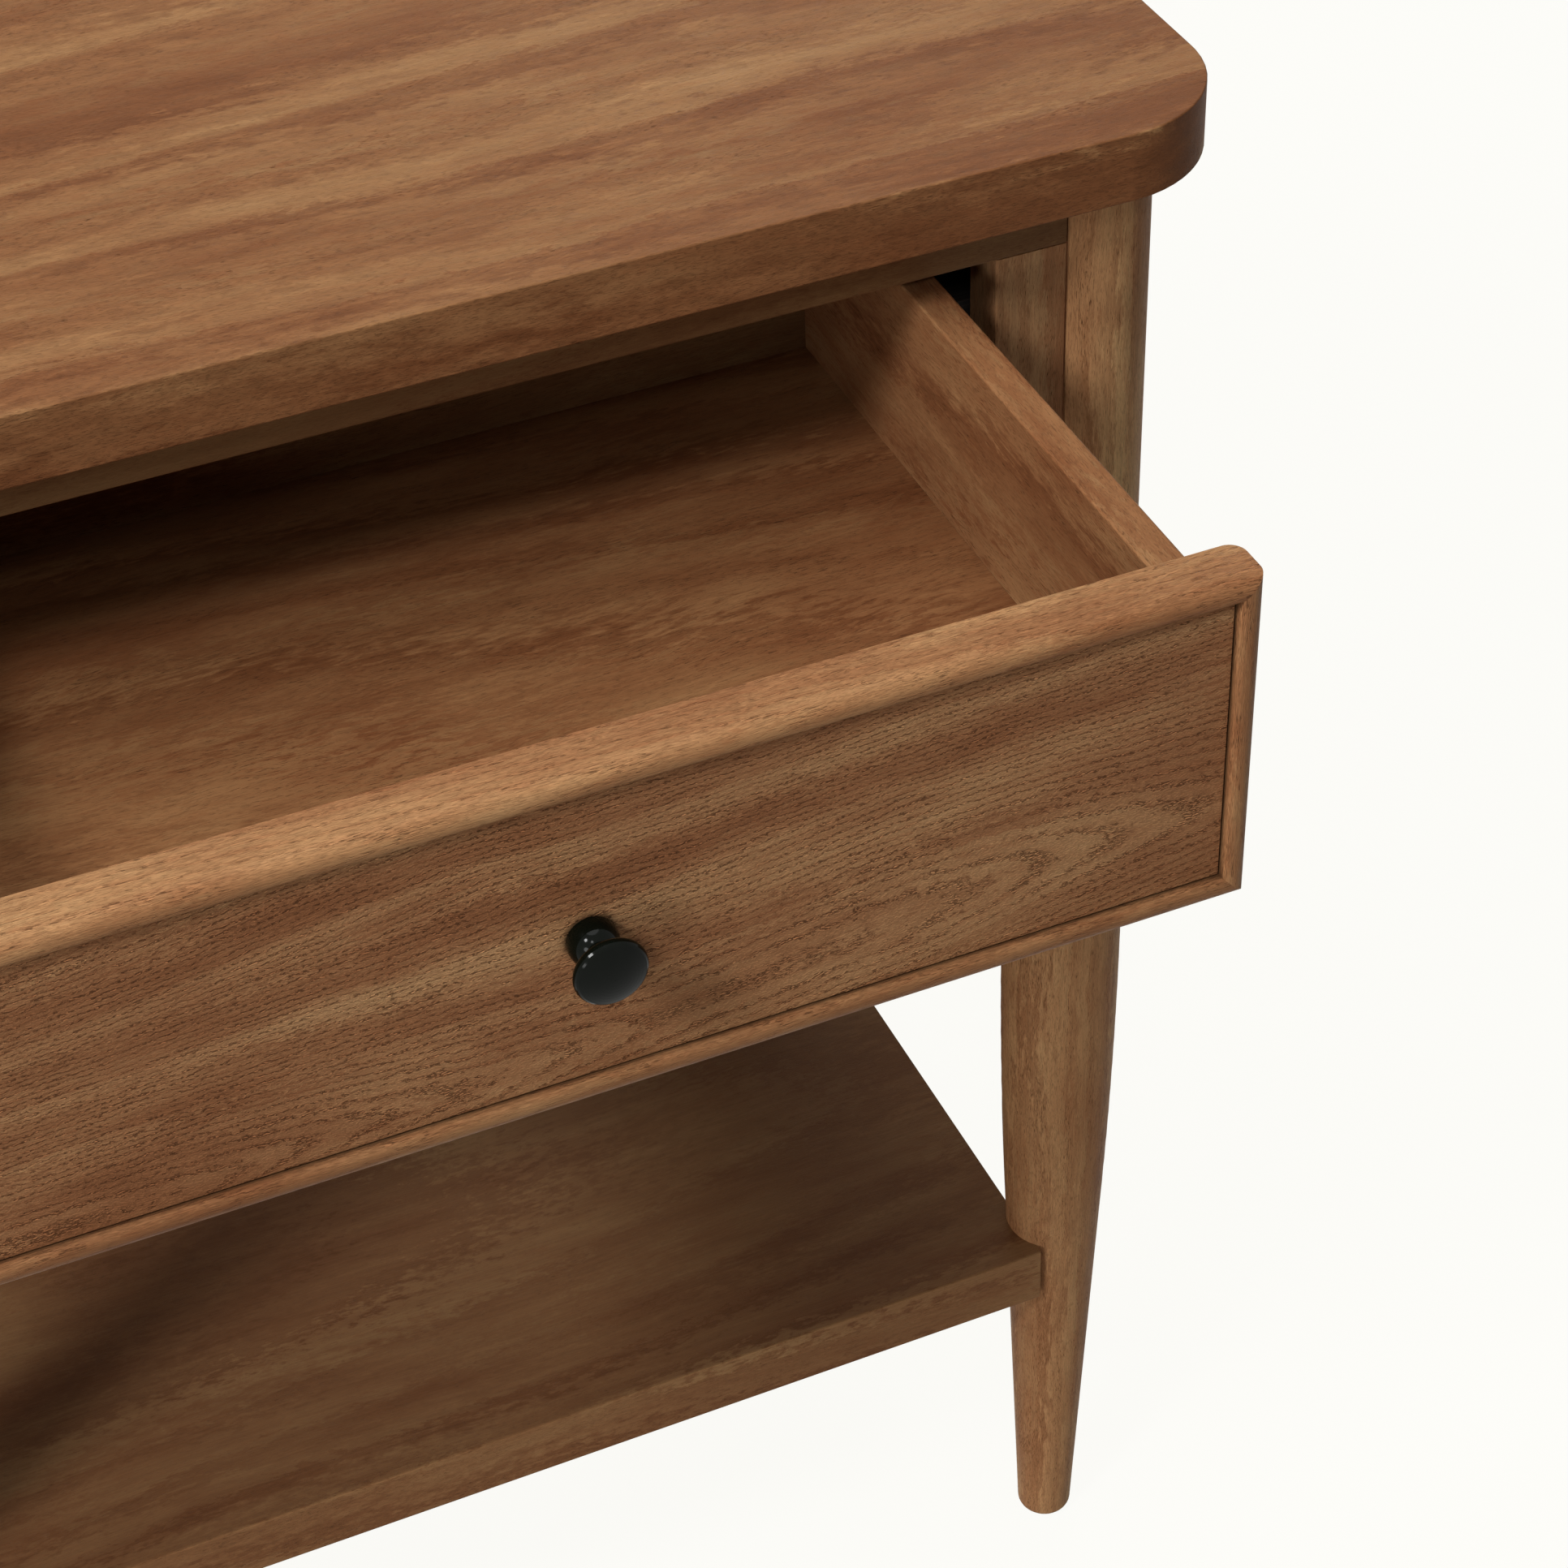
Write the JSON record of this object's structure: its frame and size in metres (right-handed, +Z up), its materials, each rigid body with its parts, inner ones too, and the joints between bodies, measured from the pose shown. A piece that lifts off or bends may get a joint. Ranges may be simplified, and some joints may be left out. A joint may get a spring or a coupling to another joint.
{
  "type": "side table with drawer",
  "caption": "Wooden side table on round tapered legs, with rounded top corners, an inset beaded drawer on full-extension slides, a small black knob and a lower shelf.",
  "frame": {"origin": "on the floor, under the middle of the bounding box with the drawer open 165 mm as modelled", "axes": "+X to the table's right as seen by its user, +Y to its back, +Z up from the floor"},
  "size_m": [0.532, 0.5598, 0.635],
  "materials": {
    "walnut_top": "satin lacquered walnut",
    "walnut_leg": "satin lacquered walnut stain, grain along the leg",
    "walnut_case": "satin lacquered walnut",
    "walnut_shelf": "satin lacquered walnut",
    "walnut_front": "open-pored satin walnut",
    "walnut_bead": "open-pored satin walnut, lighter",
    "walnut_drawer": "satin walnut foil",
    "plain_board": "plain board",
    "beech": "plain beech",
    "zinc_steel": "zinc plated",
    "zinc_screw": "zinc plated",
    "ball_steel": "polished",
    "black_enamel": "gloss black enamel",
    "nylon": "matte nylon"
  },
  "bodies": {
    "table": {"tabletop": "walnut_top", "leg_front_left": "walnut_leg", "leg_front_right": "walnut_leg", "leg_back_left": "walnut_leg", "leg_back_right": "walnut_leg", "foot_glides": "nylon", "top_rail": "walnut_case", "bottom_rail": "walnut_case", "stile_left": "walnut_case", "stile_right": "walnut_case", "side_panel_left": "walnut_case", "side_panel_right": "walnut_case", "back_panel": "walnut_case", "case_bottom": "plain_board", "top_cleat_left": "plain_board", "top_cleat_right": "plain_board", "top_screws": "zinc_screw", "shelf": "walnut_shelf", "dowels": "beech", "runner_board_left": "plain_board", "runner_board_right": "plain_board", "slide_cabinet_left": "zinc_steel", "slide_cabinet_right": "zinc_steel", "slide_cabinet_screws": "zinc_screw"},
    "drawer": {"drawer_front": "walnut_front", "bead_top": "walnut_bead", "bead_bottom": "walnut_bead", "bead_left": "walnut_bead", "bead_right": "walnut_bead", "drawer_side_left": "walnut_drawer", "drawer_side_right": "walnut_drawer", "drawer_back": "walnut_drawer", "drawer_bottom": "walnut_drawer", "drawer_dowels": "beech", "knob": "black_enamel", "knob_screw": "zinc_screw", "slide_drawer_left": "zinc_steel", "slide_drawer_right": "zinc_steel", "slide_drawer_screws": "zinc_screw"},
    "slide_carriage": {"slide_middle_left": "zinc_steel", "slide_middle_right": "zinc_steel"},
    "outer_cages": {"outer_ball_cage_left": "ball_steel", "outer_ball_cage_right": "ball_steel"},
    "inner_cages": {"inner_ball_cage_left": "ball_steel", "inner_ball_cage_right": "ball_steel"}
  },
  "joints": [
    {"name": "drawer_slide", "type": "slide", "parent": "table", "child": "drawer", "axis": [0, -1, 0], "range_m": [-0.165, 0.06]},
    {"name": "carriage_slide", "type": "slide", "parent": "table", "child": "slide_carriage", "axis": [0, -1, 0], "range_m": [-0.08251, 0.03001]},
    {"name": "outer_cage_slide", "type": "slide", "parent": "table", "child": "outer_cages", "axis": [0, -1, 0], "range_m": [-0.04126, 0.01501]},
    {"name": "inner_cage_slide", "type": "slide", "parent": "table", "child": "inner_cages", "axis": [0, -1, 0], "range_m": [-0.12376, 0.04501]}
  ],
  "couplings": [
    {"joint": "carriage_slide", "follows": "drawer_slide", "ratio": 0.5},
    {"joint": "outer_cage_slide", "follows": "drawer_slide", "ratio": 0.25},
    {"joint": "inner_cage_slide", "follows": "drawer_slide", "ratio": 0.75}
  ]
}
